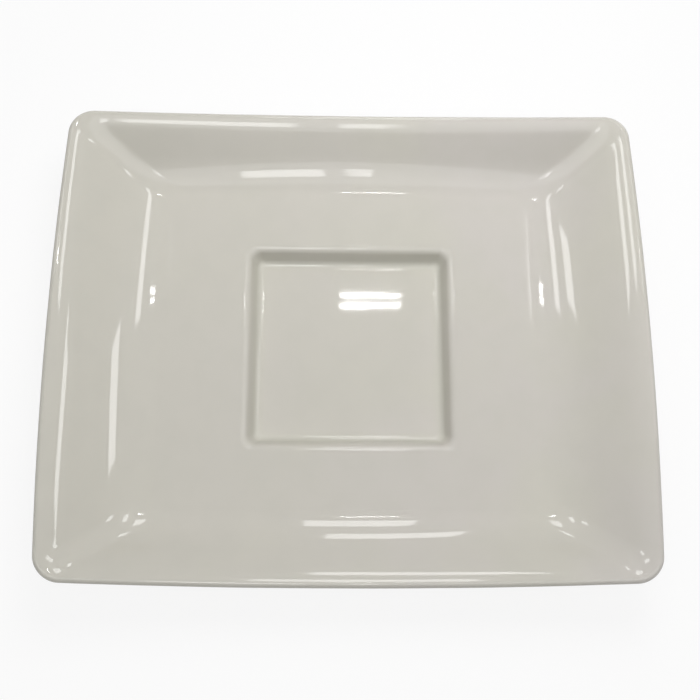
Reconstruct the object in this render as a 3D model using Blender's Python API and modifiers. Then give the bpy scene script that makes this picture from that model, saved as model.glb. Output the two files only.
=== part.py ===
"""Rectangular porcelain platter with a square well: a fired body and its two coats of glaze.

Units are metres, +Z is up and the table is z = 0. The middle of the platter is at x = y = 0 and its
length lies along X. Each surface is a stack of rings, which runs from the middle of the well's floor
over the face, round the rim, down and up the foot, and in to the middle of the base.
"""

import math
from collections import namedtuple

import bmesh
import bpy
from mathutils import Vector

# Overall size, over the glaze
LENGTH = 0.305
WIDTH = 0.2492
CORNER_RADIUS = 0.0122
END_BOW = 0.0043  # how far the middle of a short side stands out past its corners
SIDE_BOW = 0.0025  # the same for a long side
WALL = 0.0046  # from glaze to glaze

# Height of the rim above the flat of the face
CORNER_RISE = 0.0253
END_RISE = 0.0228
SIDE_RISE = 0.0179
BEND_SHARE = 0.55  # share of a slope's width that curves up from the flat before it runs straight
EASE_SHARE = 0.2  # share of a slope's width that eases off again below the rim
RIM_STEEPNESS = 0.4  # how steep the slope still is at the rim, of its steepest

# Square well, measured to the sharp corners that its fillets round off
WELL_FLOOR = 0.0973
WELL_DEPTH = 0.0088
WELL_WALL_RUN = 0.0045  # width of the sloping wall, seen from above
WELL_CORNER_RADIUS = 0.0035  # seen from above, at the floor
WELL_CORNER_FLARE = 0.3  # growth of that radius for each unit of growth in half-width
LIP_RADIUS = 0.0045
FLOOR_FILLET = 0.0045

# Flat land round the well, out to where the slopes begin
END_LAND = 0.0441
SIDE_LAND = 0.0321
LAND_CORNER_RADIUS = 0.010

# Underside
BASE_CLEARANCE = 0.0012  # between the table and the underside of the well
BASE_ROOT_FILLET = 0.003
BASE_EDGE_RADIUS = 0.004
FOOT_INSET = 0.004  # from the edge of the land in to the foot ring
FOOT_WIDTH = 0.0036  # bare standing edge
FOOT_DRAFT = 0.001  # how far each side of the foot leans in on its way down
FOOT_CORNER_RADIUS = 0.016
FOOT_FILLET = 0.003
FOOT_EDGE_RADIUS = 0.0007

# Glaze
GLAZE = 0.0004
GLAZE_GAP = 0.0003  # clearance to the body
GLAZE_LINE = 0.0016  # height above the table at which the glaze is wiped off the foot

# Fineness of the mesh
END_STEPS = 3  # along half of a short side
SIDE_STEPS = 4  # along half of a long side
CORNER_STEPS = 5
BEND_STEPS = 6
EASE_STEPS = 3
RIM_STEPS = 6
FILLET_STEPS = 3
LEAN_PASSES = 8
SHARP_ANGLE = math.radians(50)

# Sizes that follow from those above
COVER = GLAZE + GLAZE_GAP
RIM_RADIUS = WALL / 2
STRAIGHT_END = 1 - EASE_SHARE
MEAN_STEEPNESS = 1 - BEND_SHARE / 2 - EASE_SHARE * (1 - RIM_STEEPNESS) / 2
FACE_HEIGHT = WELL_DEPTH + WALL + BASE_CLEARANCE
UNDER_HEIGHT = FACE_HEIGHT - WALL
WELL_MOUTH = WELL_FLOOR + 2 * WELL_WALL_RUN
LAND_X = WELL_MOUTH / 2 + END_LAND
LAND_Y = WELL_MOUTH / 2 + SIDE_LAND
RIM_X = LENGTH / 2 - END_BOW
RIM_Y = WIDTH / 2 - SIDE_BOW

Section = namedtuple("Section", "inner edge outward height lean")


def rounded_rectangle(half_x, half_y, radius):
    """Plan points of a rounded rectangle, anticlockwise from the middle of its +X side."""
    right = [Vector((half_x, (half_y - radius) * i / END_STEPS)) for i in range(END_STEPS)]
    centre = Vector((half_x - radius, half_y - radius))
    angles = [math.pi / 2 * i / CORNER_STEPS for i in range(CORNER_STEPS + 1)]
    corner = [centre + radius * Vector((math.cos(a), math.sin(a))) for a in angles]
    top = [Vector((centre.x * (1 - i / SIDE_STEPS), half_y)) for i in range(1, SIDE_STEPS + 1)]
    quarter = right + corner + top
    left_half = [Vector((-p.x, p.y)) for p in reversed(quarter[:-1])]
    upper = quarter + left_half
    return upper + [Vector((p.x, -p.y)) for p in reversed(upper[1:-1])]


def fillet(before, corner, after, radius):
    """Arc of profile points that rounds off a corner, no longer than its two sides allow."""
    arrive = (corner - before).normalized()
    leave = (after - corner).normalized()
    across = (leave - arrive * arrive.dot(leave)).normalized()
    turn = math.acos(arrive.dot(leave))
    room = min((corner - before).length, (after - corner).length) / 2
    setback = min(radius * math.tan(turn / 2), room)
    bend = setback / math.tan(turn / 2)
    start = corner - arrive * setback
    angles = [turn * i / FILLET_STEPS for i in range(FILLET_STEPS + 1)]
    return [start + bend * (math.sin(a) * arrive + (1 - math.cos(a)) * across) for a in angles]


def raised(plan, height):
    """Ring of points with this plan, all at one height."""
    return [Vector((p.x, p.y, height)) for p in plan]


def well_ring(half, height):
    """Square ring of the well, or of the base below it."""
    radius = WELL_CORNER_RADIUS + WELL_CORNER_FLARE * (half - WELL_FLOOR / 2)
    return raised(rounded_rectangle(half, half, radius), height)


def foot_ring(inset, height):
    """Ring of the foot, at a distance in from the edge of the land."""
    radius = FOOT_CORNER_RADIUS + FOOT_INSET - inset
    return raised(rounded_rectangle(LAND_X - inset, LAND_Y - inset, radius), height)


def well_corners(depth):
    """Floor and lip corners of the well's profile, at a depth below the glazed face."""
    lean = WELL_WALL_RUN / WELL_DEPTH
    floor_half = WELL_FLOOR / 2 + depth * (math.hypot(1, lean) - lean)
    lip_height = FACE_HEIGHT - depth
    floor = Vector((floor_half, lip_height - WELL_DEPTH))
    return floor, Vector((floor_half + WELL_WALL_RUN, lip_height))


def well_rings(inset):
    """Upper surface of the well, from its floor out to the land."""
    floor, lip = well_corners(inset)
    middle = Vector((0, floor.y))
    land = Vector((LAND_Y, lip.y))
    floor_arc = fillet(middle, floor, lip, FLOOR_FILLET + inset)
    lip_arc = fillet(floor, lip, land, LIP_RADIUS - inset)
    return [well_ring(p.x, p.y) for p in floor_arc + lip_arc]


def base_rings(inset):
    """Underside of the land and the well, from the foot in to the flat of the base."""
    floor, lip = well_corners(WALL - inset)
    land = Vector((LAND_Y - FOOT_INSET - FOOT_WIDTH, lip.y))
    middle = Vector((0, floor.y))
    root_arc = fillet(land, lip, floor, BASE_ROOT_FILLET + inset)
    edge_arc = fillet(lip, floor, middle, BASE_EDGE_RADIUS - inset)
    return [well_ring(p.x, p.y) for p in root_arc + edge_arc]


def foot_sides(inset, height):
    """Distance in from the edge of the land of the foot's outer and inner side, at a height."""
    lean = FOOT_DRAFT * height / UNDER_HEIGHT
    standing = FOOT_INSET + FOOT_DRAFT
    outer = standing - lean + inset
    inner = standing + FOOT_WIDTH + 2 * COVER + lean - inset
    return outer, inner


def foot_profile(inset, foot_height):
    """Root and lower end of the foot's outer side, then lower end and root of its inner side."""
    root_height = UNDER_HEIGHT + inset
    outer_root, inner_root = foot_sides(inset, root_height)
    outer_end, inner_end = foot_sides(inset, foot_height)
    return (
        Vector((outer_root, root_height)),
        Vector((outer_end, foot_height)),
        Vector((inner_end, foot_height)),
        Vector((inner_root, root_height)),
    )


def outer_root_arc(inset, foot_height):
    root, end, _, _ = foot_profile(inset, foot_height)
    land_edge = Vector((0, root.y))
    return fillet(land_edge, root, end, FOOT_FILLET + inset)


def inner_root_arc(inset, foot_height):
    _, _, end, root = foot_profile(inset, foot_height)
    underside = Vector((root.x + SIDE_LAND, root.y))
    return fillet(end, root, underside, FOOT_FILLET + inset)


def standing_edge(inset):
    """Profile of the bare foot where it meets the table."""
    outer_root, outer, inner, inner_root = foot_profile(inset, 0)
    first = fillet(outer_root, outer, inner, FOOT_EDGE_RADIUS)
    return first + fillet(outer, inner, inner_root, FOOT_EDGE_RADIUS)


def climb(share):
    """Share of a slope's rise that is reached at a share of its width."""
    bend = min(share, BEND_SHARE)
    ease = max(share - STRAIGHT_END, 0)
    lost = bend - bend * bend / (2 * BEND_SHARE) + (1 - RIM_STEEPNESS) * ease * ease / (2 * EASE_SHARE)
    return (share - lost) / MEAN_STEEPNESS


def bowed(point):
    """Plan point of the plain rim, moved out to the bowed one."""
    out_x = 1 + END_BOW / RIM_X * (1 - (point.y / RIM_Y) ** 2)
    out_y = 1 + SIDE_BOW / RIM_Y * (1 - (point.x / RIM_X) ** 2)
    return Vector((point.x * out_x, point.y * out_y))


def rim_rise(point):
    """Height of the rim's top above the flat, at a plan point of the plain rim."""
    along_side = 1 - (point.x / RIM_X) ** 2
    along_end = 1 - (point.y / RIM_Y) ** 2
    return CORNER_RISE - (CORNER_RISE - SIDE_RISE) * along_side - (CORNER_RISE - END_RISE) * along_end


def rim_lean(run, rise):
    """Angle at which a slope runs smoothly into the round of the rim."""
    steepening = RIM_STEEPNESS / MEAN_STEEPNESS
    lean = 0
    for _ in range(LEAN_PASSES):
        slope_run = run - RIM_RADIUS * (1 + math.sin(lean))
        slope_rise = rise - RIM_RADIUS * (1 - math.cos(lean))
        lean = math.atan(steepening * slope_rise / slope_run)
    return lean


def rim_sections():
    """One section through the slope and the rim at each point round the platter."""
    plain = rounded_rectangle(RIM_X, RIM_Y, CORNER_RADIUS)
    edge = [bowed(point) for point in plain]
    sections = []
    for i, inner in enumerate(rounded_rectangle(LAND_X, LAND_Y, LAND_CORNER_RADIUS)):
        along = edge[(i + 1) % len(edge)] - edge[i - 1]
        outward = Vector((along.y, -along.x)).normalized()
        rise = rim_rise(plain[i])
        lean = rim_lean((edge[i] - inner).dot(outward), rise)
        sections.append(Section(inner, edge[i], outward, FACE_HEIGHT + rise - RIM_RADIUS, lean))
    return sections


def rim_point(section, inset, turn):
    """Point on the round of the rim, turned from its upper end (0) to its lower end (pi)."""
    angle = turn - section.lean
    radius = RIM_RADIUS - inset
    plan = section.edge - section.outward * (RIM_RADIUS - radius * math.sin(angle))
    return Vector((plan.x, plan.y, section.height + radius * math.cos(angle)))


def slope_point(section, rim_end, flat_height, share):
    """Point on a slope, at a share of its width from the land to the rim."""
    plan = section.inner.lerp(rim_end.xy, share)
    return Vector((plan.x, plan.y, flat_height + (rim_end.z - flat_height) * climb(share)))


def slope_rings(sections, inset, turn, flat_height):
    """Upper (turn 0) or lower (turn pi) surface of the slopes, from the land out to the rim."""
    shares = [BEND_SHARE * i / BEND_STEPS for i in range(BEND_STEPS + 1)]
    shares += [STRAIGHT_END + EASE_SHARE * i / EASE_STEPS for i in range(EASE_STEPS)]
    return [
        [slope_point(s, rim_point(s, inset, turn), flat_height, share) for s in sections]
        for share in shares
    ]


def outer_rings(inset, foot_height):
    """Face, rim and underside, from the well's floor round to the foot's outer root."""
    sections = rim_sections()
    turns = [math.pi * i / RIM_STEPS for i in range(RIM_STEPS + 1)]
    upper = slope_rings(sections, inset, 0, FACE_HEIGHT - inset)
    rim = [[rim_point(s, inset, turn) for s in sections] for turn in turns]
    lower = slope_rings(sections, inset, math.pi, UNDER_HEIGHT + inset)
    root = [foot_ring(p.x, p.y) for p in outer_root_arc(inset, foot_height)]
    return well_rings(inset) + upper + rim + lower[::-1] + root


def loft(name, rings, closed_start, closed_end):
    """Mesh of the surface through the rings, facing out of the clay."""
    bm = bmesh.new()
    loops = [[bm.verts.new(point) for point in ring] for ring in rings]
    for first, second in zip(loops, loops[1:]):
        for i in range(len(first)):
            bm.faces.new((first[i - 1], second[i - 1], second[i], first[i]))
    if closed_start:
        bm.faces.new(loops[0])
    if closed_end:
        bm.faces.new(loops[-1][::-1])
    mesh = bpy.data.meshes.new(name)
    bm.to_mesh(mesh)
    bm.free()
    mesh.shade_smooth()
    mesh.set_sharp_from_angle(angle=SHARP_ANGLE)
    return mesh


def ceramic(name, colour, roughness):
    material = bpy.data.materials.new(name)
    material.use_nodes = True
    shader = material.node_tree.nodes["Principled BSDF"]
    shader.inputs["Base Color"].default_value = (*colour, 1)
    shader.inputs["Roughness"].default_value = roughness
    shader.inputs["Metallic"].default_value = 0
    return material


def add_piece(mesh, material, frame):
    piece = bpy.data.objects.new(mesh.name, mesh)
    piece.parent = frame
    mesh.materials.append(material)
    frame.users_collection[0].objects.link(piece)
    return piece


def coat(piece):
    """Gives a glazed surface the thickness of its glaze, measured in towards the clay."""
    shell = piece.modifiers.new("glaze", "SOLIDIFY")
    shell.thickness = GLAZE
    shell.offset = -1
    shell.use_even_offset = True


def make_porcelain_body(frame):
    rings = outer_rings(COVER, 0)
    rings += [foot_ring(p.x, p.y) for p in standing_edge(COVER) + inner_root_arc(COVER, 0)]
    rings += base_rings(COVER)
    biscuit = ceramic("biscuit_porcelain", (0.72, 0.69, 0.61), 0.75)
    add_piece(loft("porcelain_body", rings, True, True), biscuit, frame)


def make_face_glaze(frame):
    _, outer_end, _, _ = foot_profile(0, GLAZE_LINE)
    rings = outer_rings(0, GLAZE_LINE) + [foot_ring(outer_end.x, outer_end.y)]
    ivory = ceramic("ivory_face_glaze", (0.58, 0.56, 0.49), 0.08)
    coat(add_piece(loft("face_glaze", rings, True, False), ivory, frame))


def make_underside_glaze(frame):
    _, _, inner_end, _ = foot_profile(0, GLAZE_LINE)
    profile = [inner_end] + inner_root_arc(0, GLAZE_LINE)
    rings = [foot_ring(p.x, p.y) for p in profile] + base_rings(0)
    ivory = ceramic("ivory_underside_glaze", (0.58, 0.56, 0.49), 0.12)
    coat(add_piece(loft("underside_glaze", rings, False, True), ivory, frame))


def clear_scene():
    for leftover in list(bpy.data.objects):
        bpy.data.objects.remove(leftover, do_unlink=True)


def main():
    clear_scene()
    collection = bpy.data.collections.new("rectangular_platter")
    bpy.context.scene.collection.children.link(collection)
    frame = bpy.data.objects.new("platter_frame", None)
    collection.objects.link(frame)
    make_porcelain_body(frame)
    make_face_glaze(frame)
    make_underside_glaze(frame)


main()
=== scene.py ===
"""Looks of the rectangular platter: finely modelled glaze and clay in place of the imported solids.

Units are metres, +Z is up and the table is z = 0, as in the solids. The rings follow the same formulas as
the solids, with many more steps, and the glazed surfaces carry the slight ripple of a real fired coat.
A floor, lamps, a white background and a camera at the photo's viewing angle complete the scene.
"""

import math
from collections import namedtuple

import bmesh
import bpy
from mathutils import Matrix, Vector, noise


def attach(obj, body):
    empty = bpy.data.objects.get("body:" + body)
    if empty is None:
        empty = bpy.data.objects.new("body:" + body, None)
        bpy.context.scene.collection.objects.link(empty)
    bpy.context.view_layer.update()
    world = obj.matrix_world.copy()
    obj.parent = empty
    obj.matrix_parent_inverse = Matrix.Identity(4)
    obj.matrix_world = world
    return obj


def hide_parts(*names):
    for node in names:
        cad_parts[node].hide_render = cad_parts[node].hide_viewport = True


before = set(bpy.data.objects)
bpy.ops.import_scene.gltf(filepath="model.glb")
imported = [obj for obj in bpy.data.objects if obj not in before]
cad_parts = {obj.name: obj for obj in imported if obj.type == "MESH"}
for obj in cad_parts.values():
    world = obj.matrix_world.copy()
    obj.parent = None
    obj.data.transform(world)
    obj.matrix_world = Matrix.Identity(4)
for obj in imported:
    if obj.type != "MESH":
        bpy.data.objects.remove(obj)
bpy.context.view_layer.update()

# Sizes of the solids, over the glaze
LENGTH = 0.305
WIDTH = 0.2492
CORNER_RADIUS = 0.0122
END_BOW = 0.0043
SIDE_BOW = 0.0025
WALL = 0.0046
CORNER_RISE = 0.0253
END_RISE = 0.0228
SIDE_RISE = 0.0179
BEND_SHARE = 0.55  # of a slope's width, that bends up from the flat
EASE_SHARE = 0.2  # of a slope's width, that eases off below the rim
RIM_STEEPNESS = 0.4  # at the rim, as a share of the straight part's
WELL_FLOOR = 0.0973
WELL_DEPTH = 0.0088
WELL_WALL_RUN = 0.0045
WELL_CORNER_RADIUS = 0.0035
WELL_CORNER_FLARE = 0.3
LIP_RADIUS = 0.0045
FLOOR_FILLET = 0.0045
END_LAND = 0.0441
SIDE_LAND = 0.0321
LAND_CORNER_RADIUS = 0.010
BASE_CLEARANCE = 0.0012
BASE_ROOT_FILLET = 0.003
BASE_EDGE_RADIUS = 0.004
FOOT_INSET = 0.004
FOOT_WIDTH = 0.0036
FOOT_DRAFT = 0.001
FOOT_CORNER_RADIUS = 0.016
FOOT_FILLET = 0.003
FOOT_EDGE_RADIUS = 0.0007
GLAZE = 0.0004
GLAZE_GAP = 0.0003
GLAZE_LINE = 0.0016

# Fineness of the mesh
END_STEPS = 26
SIDE_STEPS = 32
CORNER_STEPS = 14
BEND_STEPS = 20
STRAIGHT_STEPS = 6
EASE_STEPS = 8
RIM_STEPS = 14
FILLET_STEPS = 10
FLOOR_STEPS = 14
WELL_WALL_STEPS = 3
LAND_STEPS = 9
LEAN_PASSES = 12
POLE = 0.004  # half-width of the innermost ring of the well's floor and of the base
EDGE_SHARE = 0.015  # of a flat's width, from its edge to the ring that keeps it flat up to there

# Sizes that follow from those above
COVER = GLAZE + GLAZE_GAP
RIM_RADIUS = WALL / 2
STRAIGHT_END = 1 - EASE_SHARE
MEAN_STEEPNESS = 1 - BEND_SHARE / 2 - EASE_SHARE * (1 - RIM_STEEPNESS) / 2
FACE_HEIGHT = WELL_DEPTH + WALL + BASE_CLEARANCE
UNDER_HEIGHT = FACE_HEIGHT - WALL
WELL_MOUTH = WELL_FLOOR + 2 * WELL_WALL_RUN
LAND_X = WELL_MOUTH / 2 + END_LAND
LAND_Y = WELL_MOUTH / 2 + SIDE_LAND
RIM_X = LENGTH / 2 - END_BOW
RIM_Y = WIDTH / 2 - SIDE_BOW

Section = namedtuple("Section", "inner edge outward height lean")


def rounded_rectangle(half_x, half_y, radius):
    """Plan points of a rounded rectangle, anticlockwise from the middle of its +X side."""
    right = [Vector((half_x, (half_y - radius) * i / END_STEPS)) for i in range(END_STEPS)]
    centre = Vector((half_x - radius, half_y - radius))
    angles = [math.pi / 2 * i / CORNER_STEPS for i in range(CORNER_STEPS + 1)]
    corner = [centre + radius * Vector((math.cos(a), math.sin(a))) for a in angles]
    top = [Vector((centre.x * (1 - i / SIDE_STEPS), half_y)) for i in range(1, SIDE_STEPS + 1)]
    quarter = right + corner + top
    left_half = [Vector((-p.x, p.y)) for p in reversed(quarter[:-1])]
    upper = quarter + left_half
    return upper + [Vector((p.x, -p.y)) for p in reversed(upper[1:-1])]


def fillet(before, corner, after, radius):
    """Arc of profile points that rounds off a corner, no longer than its two sides allow."""
    arrive = (corner - before).normalized()
    leave = (after - corner).normalized()
    across = (leave - arrive * arrive.dot(leave)).normalized()
    turn = math.acos(arrive.dot(leave))
    room = min((corner - before).length, (after - corner).length) / 2
    setback = min(radius * math.tan(turn / 2), room)
    bend = setback / math.tan(turn / 2)
    start = corner - arrive * setback
    angles = [turn * i / FILLET_STEPS for i in range(FILLET_STEPS + 1)]
    return [start + bend * (math.sin(a) * arrive + (1 - math.cos(a)) * across) for a in angles]


def raised(plan, height):
    return [Vector((p.x, p.y, height)) for p in plan]


def well_ring(half, height):
    """Square ring of the well, or of the base below it. Its corners shrink with it towards the middle."""
    radius = WELL_CORNER_RADIUS + WELL_CORNER_FLARE * (half - WELL_FLOOR / 2)
    radius = max(radius, half * WELL_CORNER_RADIUS / WELL_FLOOR)
    return raised(rounded_rectangle(half, half, radius), height)


def foot_ring(inset, height):
    radius = FOOT_CORNER_RADIUS + FOOT_INSET - inset
    return raised(rounded_rectangle(LAND_X - inset, LAND_Y - inset, radius), height)


def well_corners(depth):
    """Floor and lip corners of the well's profile, at a depth below the glazed face."""
    lean = WELL_WALL_RUN / WELL_DEPTH
    floor_half = WELL_FLOOR / 2 + depth * (math.hypot(1, lean) - lean)
    lip_height = FACE_HEIGHT - depth
    floor = Vector((floor_half, lip_height - WELL_DEPTH))
    return floor, Vector((floor_half + WELL_WALL_RUN, lip_height))


def flat_middle(first):
    """Rings of a flat, from its middle out to just inside a profile point."""
    shares = [i / FLOOR_STEPS for i in range(FLOOR_STEPS)] + [1 - EDGE_SHARE]
    return [well_ring(POLE + (first.x - POLE) * share, first.y) for share in shares]


def between(first, last, steps):
    """Rings strictly between two rings."""
    shares = [EDGE_SHARE] + [i / steps for i in range(1, steps)] + [1 - EDGE_SHARE]
    return [[a.lerp(b, share) for a, b in zip(first, last)] for share in shares]


def well_rings(inset):
    floor, lip = well_corners(inset)
    middle = Vector((0, floor.y))
    land = Vector((LAND_Y, lip.y))
    floor_arc = fillet(middle, floor, lip, FLOOR_FILLET + inset)
    lip_arc = fillet(floor, lip, land, LIP_RADIUS - inset)
    shares = [i / WELL_WALL_STEPS for i in range(1, WELL_WALL_STEPS)]
    wall = [floor_arc[-1].lerp(lip_arc[0], share) for share in shares]
    return flat_middle(floor_arc[0]) + [well_ring(p.x, p.y) for p in floor_arc + wall + lip_arc]


def base_rings(inset):
    floor, lip = well_corners(WALL - inset)
    land = Vector((LAND_Y - FOOT_INSET - FOOT_WIDTH, lip.y))
    middle = Vector((0, floor.y))
    root_arc = fillet(land, lip, floor, BASE_ROOT_FILLET + inset)
    edge_arc = fillet(lip, floor, middle, BASE_EDGE_RADIUS - inset)
    rings = [well_ring(p.x, p.y) for p in root_arc + edge_arc]
    return rings + flat_middle(edge_arc[-1])[::-1]


def foot_sides(inset, height):
    lean = FOOT_DRAFT * height / UNDER_HEIGHT
    standing = FOOT_INSET + FOOT_DRAFT
    outer = standing - lean + inset
    inner = standing + FOOT_WIDTH + 2 * COVER + lean - inset
    return outer, inner


def foot_profile(inset, foot_height):
    """Root and lower end of the foot's outer side, then lower end and root of its inner side."""
    root_height = UNDER_HEIGHT + inset
    outer_root, inner_root = foot_sides(inset, root_height)
    outer_end, inner_end = foot_sides(inset, foot_height)
    return (
        Vector((outer_root, root_height)),
        Vector((outer_end, foot_height)),
        Vector((inner_end, foot_height)),
        Vector((inner_root, root_height)),
    )


def outer_root_arc(inset, foot_height):
    root, end, _, _ = foot_profile(inset, foot_height)
    return fillet(Vector((0, root.y)), root, end, FOOT_FILLET + inset)


def inner_root_arc(inset, foot_height):
    _, _, end, root = foot_profile(inset, foot_height)
    return fillet(end, root, Vector((root.x + SIDE_LAND, root.y)), FOOT_FILLET + inset)


def standing_edge(inset):
    outer_root, outer, inner, inner_root = foot_profile(inset, 0)
    first = fillet(outer_root, outer, inner, FOOT_EDGE_RADIUS)
    return first + fillet(outer, inner, inner_root, FOOT_EDGE_RADIUS)


def climb(share):
    """Share of a slope's rise that is reached at a share of its width."""
    bend = min(share, BEND_SHARE)
    ease = max(share - STRAIGHT_END, 0)
    lost = bend - bend * bend / (2 * BEND_SHARE) + (1 - RIM_STEEPNESS) * ease * ease / (2 * EASE_SHARE)
    return (share - lost) / MEAN_STEEPNESS


def bowed(point):
    out_x = 1 + END_BOW / RIM_X * (1 - (point.y / RIM_Y) ** 2)
    out_y = 1 + SIDE_BOW / RIM_Y * (1 - (point.x / RIM_X) ** 2)
    return Vector((point.x * out_x, point.y * out_y))


def rim_rise(point):
    along_side = 1 - (point.x / RIM_X) ** 2
    along_end = 1 - (point.y / RIM_Y) ** 2
    return CORNER_RISE - (CORNER_RISE - SIDE_RISE) * along_side - (CORNER_RISE - END_RISE) * along_end


def rim_lean(run, rise):
    """Angle at which a slope runs smoothly into the round of the rim."""
    steepening = RIM_STEEPNESS / MEAN_STEEPNESS
    lean = 0
    for _ in range(LEAN_PASSES):
        slope_run = run - RIM_RADIUS * (1 + math.sin(lean))
        slope_rise = rise - RIM_RADIUS * (1 - math.cos(lean))
        lean = math.atan(steepening * slope_rise / slope_run)
    return lean


def rim_sections():
    """One section through the slope and the rim at each point round the platter."""
    plain = rounded_rectangle(RIM_X, RIM_Y, CORNER_RADIUS)
    edge = [bowed(point) for point in plain]
    sections = []
    for i, inner in enumerate(rounded_rectangle(LAND_X, LAND_Y, LAND_CORNER_RADIUS)):
        along = edge[(i + 1) % len(edge)] - edge[i - 1]
        outward = Vector((along.y, -along.x)).normalized()
        rise = rim_rise(plain[i])
        lean = rim_lean((edge[i] - inner).dot(outward), rise)
        sections.append(Section(inner, edge[i], outward, FACE_HEIGHT + rise - RIM_RADIUS, lean))
    return sections


def rim_point(section, inset, turn):
    """Point on the round of the rim, turned from its upper end (0) to its lower end (pi)."""
    angle = turn - section.lean
    radius = RIM_RADIUS - inset
    plan = section.edge - section.outward * (RIM_RADIUS - radius * math.sin(angle))
    return Vector((plan.x, plan.y, section.height + radius * math.cos(angle)))


def slope_point(section, rim_end, flat_height, share):
    plan = section.inner.lerp(rim_end.xy, share)
    return Vector((plan.x, plan.y, flat_height + (rim_end.z - flat_height) * climb(share)))


def slope_rings(sections, inset, turn, flat_height):
    """Upper (turn 0) or lower (turn pi) surface of the slopes, from the land out to the rim."""
    straight = STRAIGHT_END - BEND_SHARE
    shares = [BEND_SHARE * i / BEND_STEPS for i in range(BEND_STEPS + 1)]
    shares += [BEND_SHARE + straight * i / STRAIGHT_STEPS for i in range(1, STRAIGHT_STEPS)]
    shares += [STRAIGHT_END + EASE_SHARE * i / EASE_STEPS for i in range(EASE_STEPS)]
    return [
        [slope_point(s, rim_point(s, inset, turn), flat_height, share) for s in sections]
        for share in shares
    ]


def outer_rings(inset, foot_height):
    """Face, rim and underside, from the well's floor round to the foot's outer root."""
    sections = rim_sections()
    turns = [math.pi * i / RIM_STEPS for i in range(RIM_STEPS + 1)]
    well = well_rings(inset)
    upper = slope_rings(sections, inset, 0, FACE_HEIGHT - inset)
    rim = [[rim_point(s, inset, turn) for s in sections] for turn in turns]
    lower = slope_rings(sections, inset, math.pi, UNDER_HEIGHT + inset)
    root = [foot_ring(p.x, p.y) for p in outer_root_arc(inset, foot_height)]
    land = between(well[-1], upper[0], LAND_STEPS)
    return well + land + upper + rim + lower[::-1] + root


def inner_rings(inset, foot_height):
    """Underside inside the foot, from the foot's inner root in to the middle of the base."""
    root = [foot_ring(p.x, p.y) for p in inner_root_arc(inset, foot_height)]
    base = base_rings(inset)
    return root + between(root[-1], base[0], LAND_STEPS) + base


def face_rings():
    """Outside of the face's glaze, from the well's floor to the glaze line on the foot's outer side."""
    _, end, _, _ = foot_profile(0, GLAZE_LINE)
    return outer_rings(0, GLAZE_LINE) + [foot_ring(end.x, end.y)]


def underside_rings():
    """Outside of the underside's glaze, from the glaze line on the foot's inner side to the base."""
    _, _, end, _ = foot_profile(0, GLAZE_LINE)
    return [foot_ring(end.x, end.y)] + inner_rings(0, GLAZE_LINE)


# Ripple of the fired surface
FLAT_RIPPLE = 0.00003
SLOPE_RIPPLE = 0.00007
FULL_RIPPLE_TILT = math.radians(5)  # tilt of the surface at which the ripple is at its strongest
RIPPLE_LENGTHS = ((0.034, 1.0), (0.013, 0.35))  # length of each wave and its share of the height


def tilt(normal):
    """Angle between a surface and the level."""
    up = Vector((0, 0, 1))
    return min(normal.angle(up), normal.angle(-up))


def ripple(point, angle):
    """Height of the ripple at a point of the glaze, from slow noise of two lengths."""
    strength = min(1, angle / FULL_RIPPLE_TILT)
    height = FLAT_RIPPLE + (SLOPE_RIPPLE - FLAT_RIPPLE) * strength
    return height * sum(share * noise.noise(point / length) for length, share in RIPPLE_LENGTHS)


def loft(name, rings, closed_start, closed_end, rippled):
    """Mesh of the surface through the rings, facing out of the clay."""
    bm = bmesh.new()
    loops = [[bm.verts.new(point) for point in ring] for ring in rings]
    for first, second in zip(loops, loops[1:]):
        for i in range(len(first)):
            bm.faces.new((first[i - 1], second[i - 1], second[i], first[i]))
    if closed_start:
        close(bm, loops[0])
    if closed_end:
        close(bm, loops[-1][::-1])
    if rippled:
        bm.normal_update()
        moves = [v.normal * ripple(v.co, tilt(v.normal)) for v in bm.verts]
        for v, move in zip(bm.verts, moves):
            v.co += move
    mesh = bpy.data.meshes.new(name)
    bm.to_mesh(mesh)
    bm.free()
    mesh.shade_smooth()
    return mesh


def close(bm, loop):
    """Fan of faces that closes a ring at its middle."""
    middle = bm.verts.new(sum((v.co for v in loop), Vector()) / len(loop))
    for i in range(len(loop)):
        bm.faces.new((loop[i - 1], loop[i], middle))


def coat(piece):
    """Gives a glazed surface the thickness of its glaze, measured in towards the clay."""
    shell = piece.modifiers.new("glaze", "SOLIDIFY")
    shell.thickness = GLAZE
    shell.offset = -1
    shell.use_even_offset = True


def add_piece(mesh, material, node):
    piece = bpy.data.objects.new(mesh.name, mesh)
    mesh.materials.append(material)
    bpy.context.scene.collection.objects.link(piece)
    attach(piece, "root")
    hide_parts(node)
    return piece


# Looks of the glaze and of the bare clay
IVORY = (0.58, 0.561, 0.497, 1)
BLUSH = (0.583, 0.554, 0.516, 1)
CLOUDED = (0.545, 0.53, 0.472, 1)
POOLED = (0.535, 0.53, 0.455, 1)
SPECK = (0.30, 0.26, 0.20, 1)
CLAY = (0.72, 0.69, 0.61, 1)
DARK_CLAY = (0.60, 0.56, 0.47, 1)
STAINED_CLAY = (0.50, 0.45, 0.37, 1)
BLUSH_SIZE = 0.075
BLUSH_NOISE = (0.38, 0.66)  # noise at which the patches start and are full, as in the other NOISE values
BLUSH_LEAST = 0.15  # share of the patches' strength at the -X end
CLOUD_SIZE = 0.014
CLOUD_NOISE = (0.35, 0.75)
SHEEN_NOISE = (0.3, 0.7)
SHEEN_LEAST = 0.85  # of the mean roughness
SHEEN_MOST = 1.2
POOL_START = 0.043
POOL_SHARE = 0.5
SPECK_SPACING = 0.017
SPECK_RADIUS = 0.00022
SPECK_CORE = 0.5  # of its radius, that has the full colour
SPECK_CHANCE = 0.35
SPECK_STRENGTH = 0.35
PEEL_SIZE = 0.0022
PEEL_STRENGTH = 0.02
PEEL_HEIGHT = 0.00002
GRAIN_SIZE = 0.0007
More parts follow.
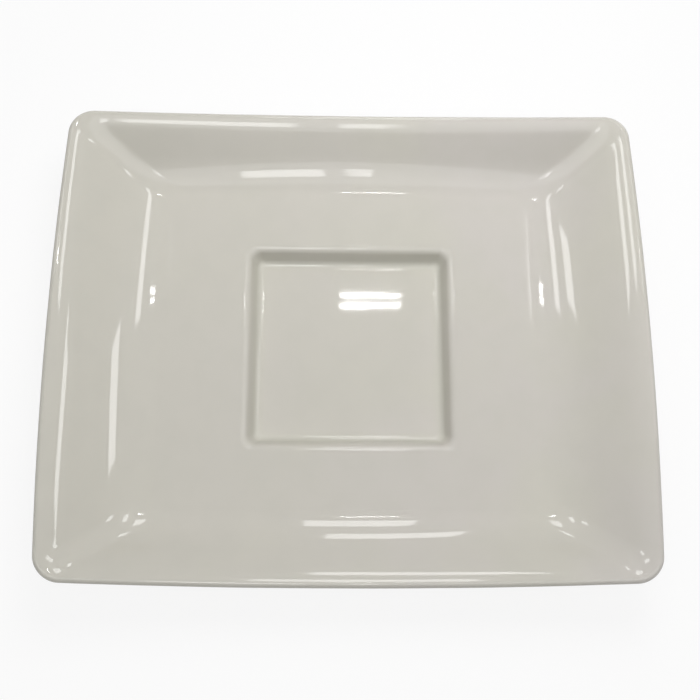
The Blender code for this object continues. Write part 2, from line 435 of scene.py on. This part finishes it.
GRAIN_NOISE = (0.35, 0.75)
GRAIN_STRENGTH = 0.4
GRAIN_HEIGHT = 0.0001
STAIN_SIZE = 0.02
STAIN_NOISE = (0.55, 0.8)
STAIN_SHARE = 0.5
CLAY_SHEEN_NOISE = (0.3, 0.7)
CLAY_ROUGHNESS = (0.65, 0.85)  # least and most
SOFT_DETAIL = 2
MIDDLE_DETAIL = 3
FINE_DETAIL = 4
CLAY_SEED = 1.7
GlazeLooks = namedtuple("GlazeLooks", "name seed cloudiness roughness")
FACE_LOOKS = GlazeLooks("face_looks", 3.1, 0.35, 0.035)
UNDERSIDE_LOOKS = GlazeLooks("underside_looks", 8.4, 0.8, 0.1)


def set_input(tree, socket, value):
    """Gives an input a plain value, or links it to an output."""
    if isinstance(value, bpy.types.NodeSocket):
        tree.links.new(value, socket)
    else:
        socket.default_value = value


def add_node(tree, kind, inputs, **settings):
    node = tree.nodes.new("ShaderNode" + kind)
    for name, value in settings.items():
        setattr(node, name, value)
    for name, value in inputs.items():
        set_input(tree, node.inputs[name], value)
    return node


def place_in_object(tree):
    return add_node(tree, "TexCoord", {}).outputs["Object"]


def noise_value(tree, size, detail, seed):
    """Noise of a real size on the object."""
    inputs = {"Vector": place_in_object(tree), "W": seed, "Scale": 1 / size, "Detail": detail}
    return add_node(tree, "TexNoise", inputs, noise_dimensions="4D").outputs["Fac"]


def ramp(tree, value, start, end, low=0, high=1):
    inputs = {"Value": value, "From Min": start, "From Max": end, "To Min": low, "To Max": high}
    return add_node(tree, "MapRange", inputs, interpolation_type="SMOOTHSTEP").outputs["Result"]


def calculate(tree, operation, first, second):
    node = add_node(tree, "Math", {}, operation=operation)
    set_input(tree, node.inputs[0], first)
    set_input(tree, node.inputs[1], second)
    return node.outputs[0]


def mix_colours(tree, factor, first, second):
    return add_node(tree, "MixRGB", {"Fac": factor, "Color1": first, "Color2": second}).outputs["Color"]


def mix_values(tree, factor, first, second):
    return add_node(tree, "Mix", {"Factor": factor, "A": first, "B": second}).outputs["Result"]


def pooling(tree):
    """How far the glaze has run together at the foot of the well's walls."""
    parts = add_node(tree, "SeparateXYZ", {"Vector": place_in_object(tree)}).outputs
    off_x = calculate(tree, "ABSOLUTE", parts["X"], 0)
    off_y = calculate(tree, "ABSOLUTE", parts["Y"], 0)
    off_middle = calculate(tree, "MAXIMUM", off_x, off_y)
    near_wall = ramp(tree, off_middle, POOL_START, WELL_FLOOR / 2, 0, POOL_SHARE)
    low = ramp(tree, parts["Z"], FACE_HEIGHT, FACE_HEIGHT - WELL_DEPTH)
    return calculate(tree, "MULTIPLY", near_wall, low)


def specks(tree):
    """Few tiny dots where iron in the clay has burnt through."""
    inputs = {"Vector": place_in_object(tree), "Scale": 1 / SPECK_SPACING}
    cells = add_node(tree, "TexVoronoi", inputs).outputs
    radius = SPECK_RADIUS / SPECK_SPACING
    dot = ramp(tree, cells["Distance"], radius, radius * SPECK_CORE)
    chance = add_node(tree, "SeparateColor", {"Color": cells["Color"]}).outputs["Red"]
    chosen = calculate(tree, "GREATER_THAN", chance, 1 - SPECK_CHANCE)
    return calculate(tree, "MULTIPLY", calculate(tree, "MULTIPLY", dot, chosen), SPECK_STRENGTH)


def blush(tree, seed):
    """Large soft patches of a pinker grey, most of them towards the +X end."""
    along = add_node(tree, "SeparateXYZ", {"Vector": place_in_object(tree)}).outputs["X"]
    share = ramp(tree, along, -RIM_X, RIM_X, BLUSH_LEAST, 1)
    patches = ramp(tree, noise_value(tree, BLUSH_SIZE, SOFT_DETAIL, seed), *BLUSH_NOISE)
    return calculate(tree, "MULTIPLY", share, patches)


def new_material(name):
    material = bpy.data.materials.new(name)
    material.use_nodes = True
    return material, material.node_tree


def finish_material(tree, colour, roughness, height, bump_strength, bump_distance):
    shader = tree.nodes["Principled BSDF"]
    inputs = {"Height": height, "Strength": bump_strength, "Distance": bump_distance}
    bump = add_node(tree, "Bump", inputs).outputs["Normal"]
    tree.links.new(colour, shader.inputs["Base Color"])
    tree.links.new(roughness, shader.inputs["Roughness"])
    tree.links.new(bump, shader.inputs["Normal"])


def glaze_material(looks):
    """Gloss ivory glaze with blush, clouds, pooling, specks, uneven gloss and orange peel."""
    material, tree = new_material(looks.name)
    colour = mix_colours(tree, blush(tree, looks.seed), IVORY, BLUSH)
    clouds = noise_value(tree, CLOUD_SIZE, FINE_DETAIL, looks.seed + 1)
    colour = mix_colours(tree, ramp(tree, clouds, *CLOUD_NOISE, 0, looks.cloudiness), colour, CLOUDED)
    colour = mix_colours(tree, pooling(tree), colour, POOLED)
    colour = mix_colours(tree, specks(tree), colour, SPECK)
    sheen = noise_value(tree, CLOUD_SIZE, MIDDLE_DETAIL, looks.seed + 2)
    least = SHEEN_LEAST * looks.roughness
    most = SHEEN_MOST * looks.roughness
    roughness = ramp(tree, sheen, *SHEEN_NOISE, least, most)
    peel = noise_value(tree, PEEL_SIZE, SOFT_DETAIL, looks.seed + 3)
    finish_material(tree, colour, roughness, peel, PEEL_STRENGTH, PEEL_HEIGHT)
    return material


def biscuit_material():
    """Bare fired clay, with grain and stains."""
    material, tree = new_material("biscuit_looks")
    grain = noise_value(tree, GRAIN_SIZE, FINE_DETAIL, CLAY_SEED)
    colour = mix_colours(tree, ramp(tree, grain, *GRAIN_NOISE), CLAY, DARK_CLAY)
    stains = noise_value(tree, STAIN_SIZE, FINE_DETAIL, CLAY_SEED + 1)
    colour = mix_colours(tree, ramp(tree, stains, *STAIN_NOISE, 0, STAIN_SHARE), colour, STAINED_CLAY)
    roughness = ramp(tree, grain, *CLAY_SHEEN_NOISE, *CLAY_ROUGHNESS)
    finish_material(tree, colour, roughness, grain, GRAIN_STRENGTH, GRAIN_HEIGHT)
    return material


def body_rings():
    """Clay under the glaze, from the well's floor round the rim and the foot to the middle of the base."""
    edge = [foot_ring(p.x, p.y) for p in standing_edge(COVER)]
    return outer_rings(COVER, 0) + edge + inner_rings(COVER, 0)


def make_body():
    body = loft("fired_body", body_rings(), closed_start=True, closed_end=True, rippled=False)
    add_piece(body, biscuit_material(), "porcelain_body")


def make_face():
    face = loft("face_coat", face_rings(), closed_start=True, closed_end=False, rippled=True)
    coat(add_piece(face, glaze_material(FACE_LOOKS), "face_glaze"))


def make_underside():
    under = loft("underside_coat", underside_rings(), closed_start=False, closed_end=True, rippled=True)
    coat(add_piece(under, glaze_material(UNDERSIDE_LOOKS), "underside_glaze"))


# Camera, fitted to the outline and the well
ELEVATION = math.radians(74.02)
YAW = math.radians(-4.71)
ROLL = math.radians(4.94)
TARGET = Vector((0.00032, -0.0025, FACE_HEIGHT))
DISTANCE = 0.5226
FOCAL_PIXELS = 1000
IMAGE_PIXELS = 700
SENSOR = 36  # millimetres


def make_camera():
    level = math.cos(ELEVATION)
    back = Vector((math.sin(YAW) * level, -math.cos(YAW) * level, math.sin(ELEVATION)))
    right = Vector((math.cos(YAW), math.sin(YAW), 0))
    up = back.cross(right)
    rolled_right = math.cos(ROLL) * right + math.sin(ROLL) * up
    rolled_up = math.cos(ROLL) * up - math.sin(ROLL) * right
    data = bpy.data.cameras.new("camera")
    data.sensor_width = SENSOR
    data.lens = FOCAL_PIXELS / IMAGE_PIXELS * SENSOR
    camera = bpy.data.objects.new("camera", data)
    place = Matrix((rolled_right, rolled_up, back)).transposed().to_4x4()
    place.translation = TARGET + back * DISTANCE
    camera.matrix_world = place
    bpy.context.scene.collection.objects.link(camera)
    bpy.context.scene.camera = camera


# Soft key near the platter, and two crossing rows of ceiling lamps that its glaze mirrors
KEY_PLACE = Vector((0.08, 0.22, 0.45))  # from the middle of the face
KEY_SIZE = 0.3
KEY_LEVEL = 0.46  # brightness of a white surface turned to the key
CEILING = 1.5
SOFTBOX_HEIGHT = 1.6
SOFTBOX_RADIANCE = 1.3
PANEL_RADIANCE = 5.5
TUBE_RADIANCE = 60
TUBE_LENGTH = 0.13
TUBE_WIDTH = 0.007
TUBES_X = 0.08
TUBES_Y = (0.524, 0.544)
Panel = namedtuple("Panel", "x y length depth")
PANELS = (
    Panel(-0.09, -0.52, 0.15, 0.36),
    Panel(0.05, -0.52, 0.04, 0.36),
    Panel(0.06, 1.0, 0.24, 0.44),
    Panel(0.19, 2.4, 0.37, 0.8),
    Panel(-0.9, 0.66, 0.25, 0.17),
    Panel(-0.43, 0.64, 0.16, 0.24),
    Panel(0.5, 0.66, 0.16, 0.33),
    Panel(1.26, 0.46, 0.3, 0.27),
)
SOFTBOX = Panel(0, -0.55, 2.6, 1.2)

# White floor and background
WORLD_LEVEL = 0.12
WHITE = (1, 1, 1, 1)
FLOOR_SIZE = 4
FLOOR_COLOUR = (0.9, 0.9, 0.9, 1)
FLOOR_WHITE_SHARE = 0.85  # near the platter
FADE_START = 0.2  # from the middle of the floor
FADE_END = 0.9


def add_lamp(name, data, place):
    lamp = bpy.data.objects.new(name, data)
    lamp.location = place
    lamp.visible_camera = False
    bpy.context.scene.collection.objects.link(lamp)
    return lamp


def add_panel(panel, height, radiance):
    """Flat lamp that faces straight down."""
    data = bpy.data.lights.new("panel", "AREA")
    data.shape = "RECTANGLE"
    data.size = panel.length
    data.size_y = panel.depth
    data.energy = radiance * math.pi * panel.length * panel.depth
    add_lamp("panel", data, (panel.x, panel.y, height))


def make_lamps():
    add_panel(SOFTBOX, SOFTBOX_HEIGHT, SOFTBOX_RADIANCE)
    for panel in PANELS:
        add_panel(panel, CEILING, PANEL_RADIANCE)
    for y in TUBES_Y:
        add_panel(Panel(TUBES_X, y, TUBE_LENGTH, TUBE_WIDTH), CEILING, TUBE_RADIANCE)


def make_key():
    """Soft light that shades the form and leaves no mirror image in the glaze."""
    data = bpy.data.lights.new("key", "AREA")
    data.shape = "DISK"
    data.size = KEY_SIZE
    data.energy = KEY_LEVEL * math.pi ** 2 * KEY_PLACE.length_squared
    key = add_lamp("key", data, KEY_PLACE + Vector((0, 0, FACE_HEIGHT)))
    key.rotation_euler = (-KEY_PLACE).to_track_quat("-Z", "Y").to_euler()
    key.visible_glossy = False


def background_rays(tree):
    """1 for the rays that show the white background, directly, mirrored or through glass."""
    rays = add_node(tree, "LightPath", {}).outputs
    indirect = calculate(tree, "MAXIMUM", rays["Is Glossy Ray"], rays["Is Transmission Ray"])
    return calculate(tree, "MAXIMUM", rays["Is Camera Ray"], indirect)


def make_world():
    """Even soft light, in front of a white background."""
    world = bpy.data.worlds.new("studio")
    world.use_nodes = True
    tree = world.node_tree
    sky = tree.nodes["Background"].inputs
    sky["Color"].default_value = WHITE
    tree.links.new(mix_values(tree, background_rays(tree), WORLD_LEVEL, 1), sky["Strength"])
    bpy.context.scene.world = world


def floor_material():
    """Pale paint that takes the platter's shadow and fades into the white background further out."""
    material, tree = new_material("floor_white")
    tree.nodes.remove(tree.nodes["Principled BSDF"])
    paint = add_node(tree, "BsdfDiffuse", {"Color": FLOOR_COLOUR}).outputs["BSDF"]
    white = add_node(tree, "Emission", {"Color": WHITE}).outputs["Emission"]
    place = {"Vector": place_in_object(tree)}
    away = add_node(tree, "VectorMath", place, operation="LENGTH").outputs["Value"]
    fade = ramp(tree, away, FADE_START, FADE_END, FLOOR_WHITE_SHARE, 1)
    share = calculate(tree, "MULTIPLY", background_rays(tree), fade)
    mix = add_node(tree, "MixShader", {"Fac": share})
    tree.links.new(paint, mix.inputs[1])
    tree.links.new(white, mix.inputs[2])
    tree.links.new(mix.outputs["Shader"], tree.nodes["Material Output"].inputs["Surface"])
    return material


def make_floor():
    half = FLOOR_SIZE / 2
    corners = [(-half, -half, 0), (half, -half, 0), (half, half, 0), (-half, half, 0)]
    mesh = bpy.data.meshes.new("floor")
    mesh.from_pydata(corners, [], [(0, 1, 2, 3)])
    mesh.materials.append(floor_material())
    floor = bpy.data.objects.new("floor", mesh)
    bpy.context.scene.collection.objects.link(floor)


def main():
    make_body()
    make_face()
    make_underside()
    make_camera()
    make_key()
    make_lamps()
    make_world()
    make_floor()
    bpy.context.scene.view_settings.view_transform = "Standard"


main()
